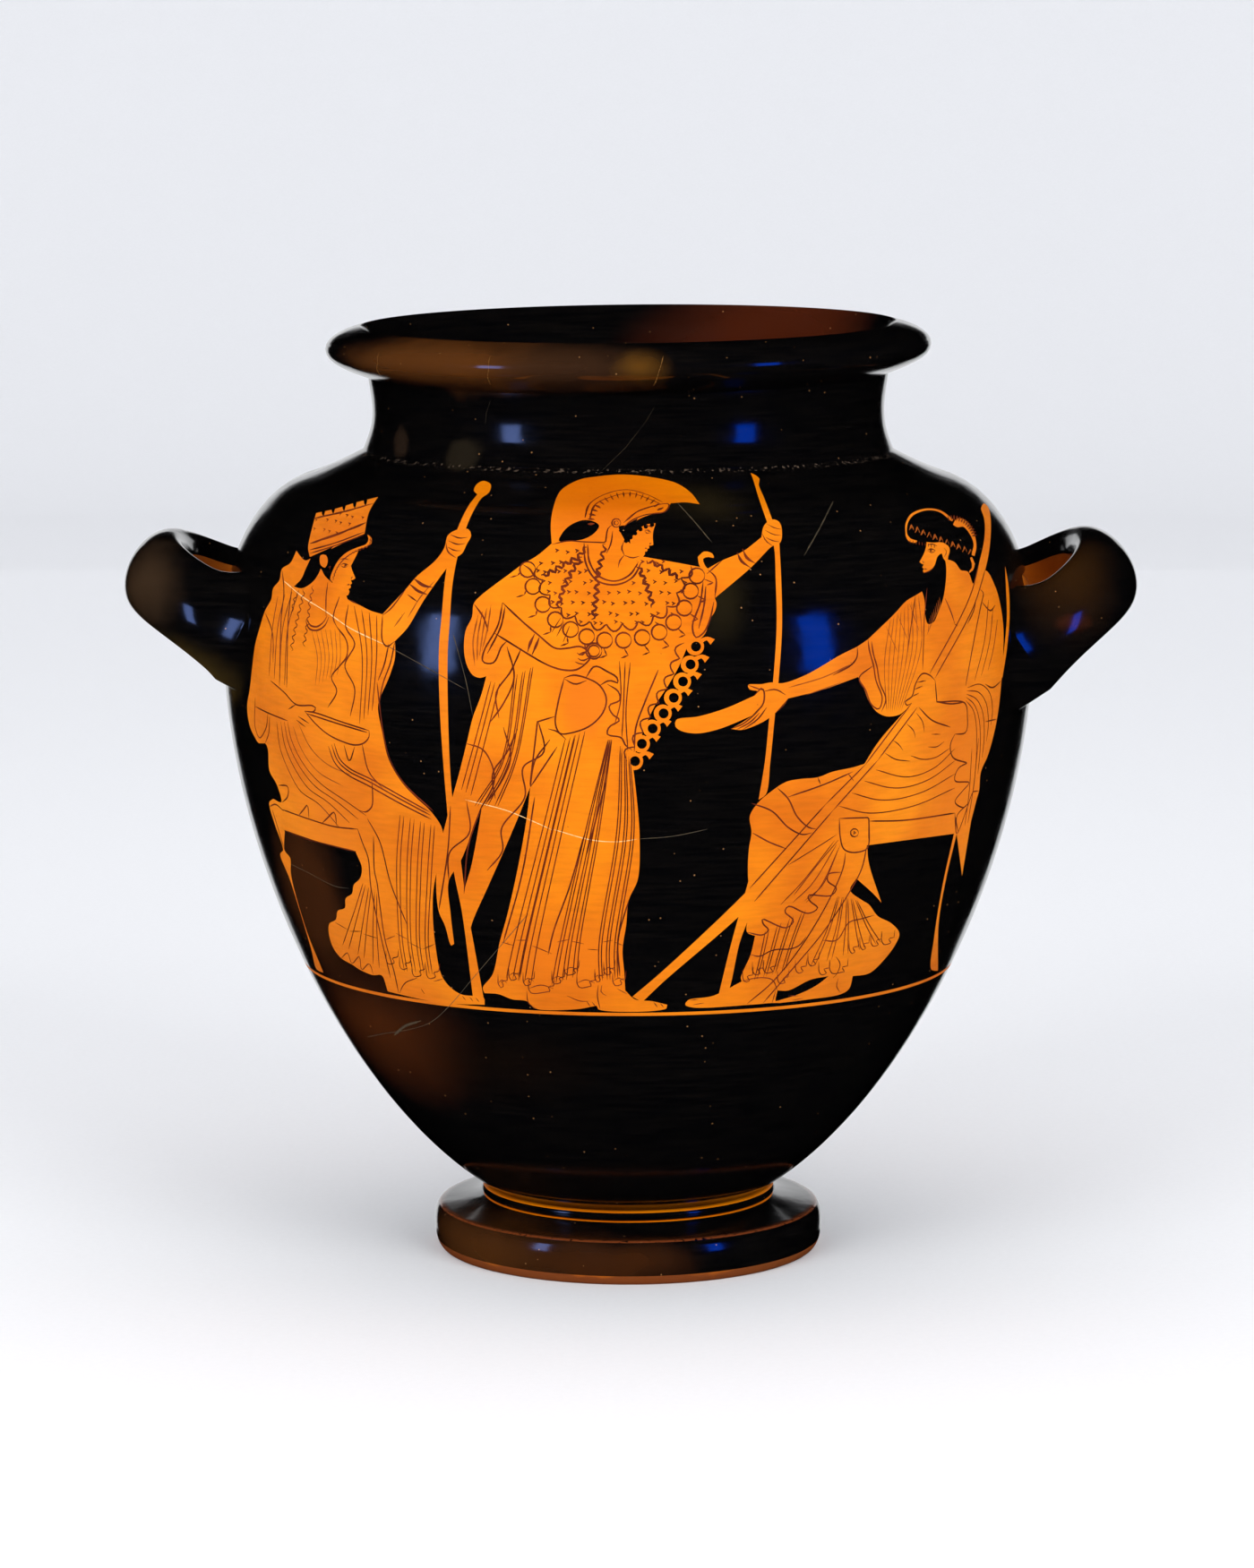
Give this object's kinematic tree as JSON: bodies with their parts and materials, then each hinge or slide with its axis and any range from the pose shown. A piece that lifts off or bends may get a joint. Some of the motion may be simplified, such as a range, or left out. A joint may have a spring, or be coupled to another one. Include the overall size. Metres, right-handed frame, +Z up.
{
  "type": "stamnos",
  "caption": "Wide two-handled pottery jar with a short neck, spreading lip, upturned side handles, disc foot and red-figure painted scenes.",
  "frame": {"origin": "centre of the foot's underside, on the surface that the jar stands on", "axes": "+Z up along the jar's turned axis, +X towards the right-hand handle, -Y towards the main painted side"},
  "size_m": [0.3892, 0.3124, 0.3621],
  "materials": {
    "black_gloss": "black gloss slip on fired clay, with figures reserved in orange clay"
  },
  "bodies": {
    "root": {"stamnos": "black_gloss"}
  },
  "joints": []
}
